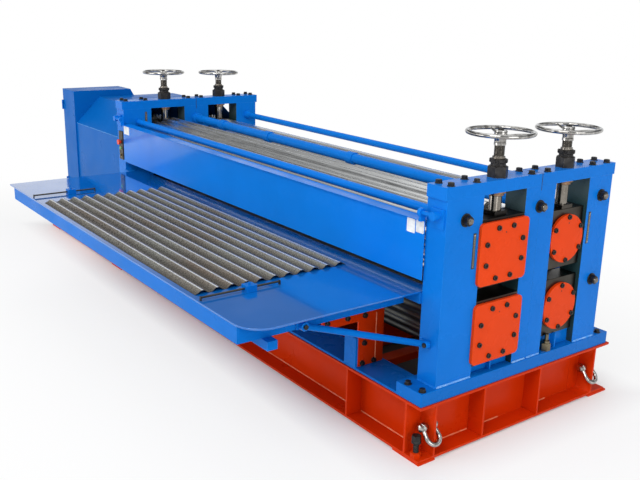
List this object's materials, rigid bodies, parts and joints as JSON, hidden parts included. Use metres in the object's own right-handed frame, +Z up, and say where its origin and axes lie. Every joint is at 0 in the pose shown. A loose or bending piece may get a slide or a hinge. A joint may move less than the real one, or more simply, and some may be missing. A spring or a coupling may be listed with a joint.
{
  "type": "barrel corrugating machine",
  "caption": "Motor-driven bench of fluted and smooth rolls in two end stands that presses sheet metal into corrugated roofing, with screw-set rolls, a delivery table and a welded base.",
  "frame": {"origin": "on the floor under the middle of the machine's bounding box", "axes": "+X along the rolls towards the stand with the covers, +Y from the delivery table to the back, +Z up"},
  "size_m": [5.092, 2.218, 1.5079],
  "materials": {
    "red_paint": "satin",
    "blue_paint": "gloss",
    "cover_orange": "satin",
    "black_steel": "blackened",
    "roll_steel": "ground and plated",
    "bright_steel": "machined",
    "chock_steel": "oiled",
    "wheel_metal": "bare, polished rim",
    "galvanised": "galvanised",
    "motor_grey": "satin",
    "station_grey": "matt",
    "red_button": "gloss",
    "green_button": "gloss",
    "black_button": "gloss"
  },
  "bodies": {
    "root": {"long_beams": "red_paint", "cross_beams": "red_paint", "beam_ribs": "red_paint", "foot_plates": "red_paint", "levelling_bolts": "black_steel", "sill_plates": "blue_paint", "centre_supports": "red_paint", "base_bars": "blue_paint", "columns": "blue_paint", "caps": "blue_paint", "frame_bolts": "black_steel", "tie_rods": "blue_paint", "tie_studs": "bright_steel", "tie_nuts": "black_steel", "chock_seats": "blue_paint", "lower_chocks": "chock_steel", "square_cover_lower": "cover_orange", "round_cover_lower": "cover_orange", "lower_cover_bolts": "black_steel", "screw_nuts": "black_steel", "guard_brackets": "blue_paint", "table_top": "blue_paint", "table_frame": "blue_paint", "guide_rods": "bright_steel", "corrugated_sheet": "galvanised", "gear_cover": "blue_paint", "geared_motor": "motor_grey", "drive_plinth": "blue_paint", "cabinet_shell": "blue_paint", "station_box": "station_grey"},
    "front_upper": {"front_upper_chocks": "chock_steel", "square_cover_upper": "cover_orange", "square_cover_bolts": "black_steel"},
    "rear_upper": {"rear_upper_chocks": "chock_steel", "round_cover_upper": "cover_orange", "round_cover_bolts": "black_steel"},
    "front_lower_roll": {"front_lower_roll": "roll_steel"},
    "front_upper_roll": {"front_upper_roll": "roll_steel"},
    "rear_lower_roll": {"rear_lower_roll": "roll_steel"},
    "rear_upper_roll": {"rear_upper_roll": "roll_steel"},
    "drive_pinion": {"drive_pinion": "bright_steel"},
    "guard": {"guard_panel": "blue_paint"},
    "guide_near": {"guide_block_near": "blue_paint"},
    "guide_far": {"guide_block_far": "blue_paint"},
    "emergency_stop": {"emergency_stop": "red_button"},
    "forward_button": {"forward_button": "green_button"},
    "reverse_button": {"reverse_button": "black_button"},
    "cabinet_door": {"cabinet_door": "blue_paint"},
    "screw_near_front": {"screw_near_front": "bright_steel", "handwheel_near_front": "wheel_metal"},
    "screw_far_front": {"screw_far_front": "bright_steel", "handwheel_far_front": "wheel_metal"},
    "screw_near_rear": {"screw_near_rear": "bright_steel", "handwheel_near_rear": "wheel_metal"},
    "screw_far_rear": {"screw_far_rear": "bright_steel", "handwheel_far_rear": "wheel_metal"},
    "shackle_near_front": {"shackle_near_front": "bright_steel"},
    "shackle_near_rear": {"shackle_near_rear": "bright_steel"},
    "shackle_far_front": {"shackle_far_front": "bright_steel"},
    "shackle_far_rear": {"shackle_far_rear": "bright_steel"}
  },
  "joints": [
    {"name": "front_lower_roll_spin", "type": "hinge", "parent": "root", "child": "front_lower_roll", "pos_m": [0, 0.1705, 0.56806], "axis": [1, 0, 0], "continuous": true},
    {"name": "front_upper_roll_spin", "type": "hinge", "parent": "front_upper", "child": "front_upper_roll", "pos_m": [0, 0.1705, 0.95694], "axis": [1, 0, 0], "continuous": true},
    {"name": "rear_lower_roll_spin", "type": "hinge", "parent": "root", "child": "rear_lower_roll", "pos_m": [0, 0.6535, 0.58426], "axis": [1, 0, 0], "continuous": true},
    {"name": "rear_upper_roll_spin", "type": "hinge", "parent": "rear_upper", "child": "rear_upper_roll", "pos_m": [0, 0.6535, 0.94074], "axis": [1, 0, 0], "continuous": true},
    {"name": "pinion_spin", "type": "hinge", "parent": "root", "child": "drive_pinion", "pos_m": [0, 0.42384, 0.48262], "axis": [1, 0, 0], "continuous": true},
    {"name": "screw_near_front_turn", "type": "hinge", "parent": "front_upper", "child": "screw_near_front", "pos_m": [2.386, 0.1705, 1.49794], "axis": [0, 0, 1], "range_deg": [0, 1130]},
    {"name": "screw_far_front_turn", "type": "hinge", "parent": "front_upper", "child": "screw_far_front", "pos_m": [-1.06, 0.1705, 1.49794], "axis": [0, 0, 1], "range_deg": [0, 1130]},
    {"name": "front_roll_lift", "type": "slide", "parent": "root", "child": "front_upper", "axis": [0, 0, 1], "range_m": [0, 0.025]},
    {"name": "screw_near_rear_turn", "type": "hinge", "parent": "rear_upper", "child": "screw_near_rear", "pos_m": [2.386, 0.6535, 1.48194], "axis": [0, 0, 1], "range_deg": [0, 1130]},
    {"name": "screw_far_rear_turn", "type": "hinge", "parent": "rear_upper", "child": "screw_far_rear", "pos_m": [-1.06, 0.6535, 1.48194], "axis": [0, 0, 1], "range_deg": [0, 1130]},
    {"name": "rear_roll_lift", "type": "slide", "parent": "root", "child": "rear_upper", "axis": [0, 0, 1], "range_m": [0, 0.025]},
    {"name": "guard_hinge", "type": "hinge", "parent": "root", "child": "guard", "pos_m": [0, -0.228, 1.164], "axis": [-1, 0, 0], "range_deg": [0, 100]},
    {"name": "guide_near_slide", "type": "slide", "parent": "root", "child": "guide_near", "axis": [0, 1, 0], "range_m": [-0.214, 0.131]},
    {"name": "guide_far_slide", "type": "slide", "parent": "root", "child": "guide_far", "axis": [0, 1, 0], "range_m": [-0.214, 0.131]},
    {"name": "emergency_stop_press", "type": "slide", "parent": "root", "child": "emergency_stop", "axis": [0, 1, 0], "range_m": [0, 0.005], "stiffness_N_per_m": 400},
    {"name": "forward_button_press", "type": "slide", "parent": "root", "child": "forward_button", "axis": [0, 1, 0], "range_m": [0, 0.005], "stiffness_N_per_m": 400},
    {"name": "reverse_button_press", "type": "slide", "parent": "root", "child": "reverse_button", "axis": [0, 1, 0], "range_m": [0, 0.005], "stiffness_N_per_m": 400},
    {"name": "cabinet_door_hinge", "type": "hinge", "parent": "root", "child": "cabinet_door", "pos_m": [-2.272, -0.218, 0.42], "axis": [0, 0, 1], "range_deg": [0, 110]},
    {"name": "shackle_near_front_swing", "type": "hinge", "parent": "root", "child": "shackle_near_front", "pos_m": [2.417, -0.2, 0.155], "axis": [0, -1, 0], "range_deg": [0, 94]},
    {"name": "shackle_near_rear_swing", "type": "hinge", "parent": "root", "child": "shackle_near_rear", "pos_m": [2.417, 0.978, 0.155], "axis": [0, -1, 0], "range_deg": [0, 94]},
    {"name": "shackle_far_front_swing", "type": "hinge", "parent": "root", "child": "shackle_far_front", "pos_m": [-2.473, -0.2, 0.155], "axis": [0, 1, 0], "range_deg": [0, 94]},
    {"name": "shackle_far_rear_swing", "type": "hinge", "parent": "root", "child": "shackle_far_rear", "pos_m": [-2.473, 0.978, 0.155], "axis": [0, 1, 0], "range_deg": [0, 94]}
  ],
  "couplings": [
    {"joint": "front_upper_roll_spin", "follows": "front_lower_roll_spin", "ratio": -1},
    {"joint": "rear_lower_roll_spin", "follows": "front_lower_roll_spin", "ratio": 1.0909},
    {"joint": "rear_upper_roll_spin", "follows": "front_lower_roll_spin", "ratio": -1.0909},
    {"joint": "pinion_spin", "follows": "front_lower_roll_spin", "ratio": -2.6667},
    {"joint": "screw_near_front_turn", "follows": "front_roll_lift", "rad_per_m": 785.4},
    {"joint": "screw_far_front_turn", "follows": "front_roll_lift", "rad_per_m": 785.4},
    {"joint": "screw_near_rear_turn", "follows": "rear_roll_lift", "rad_per_m": 785.4},
    {"joint": "screw_far_rear_turn", "follows": "rear_roll_lift", "rad_per_m": 785.4}
  ]
}
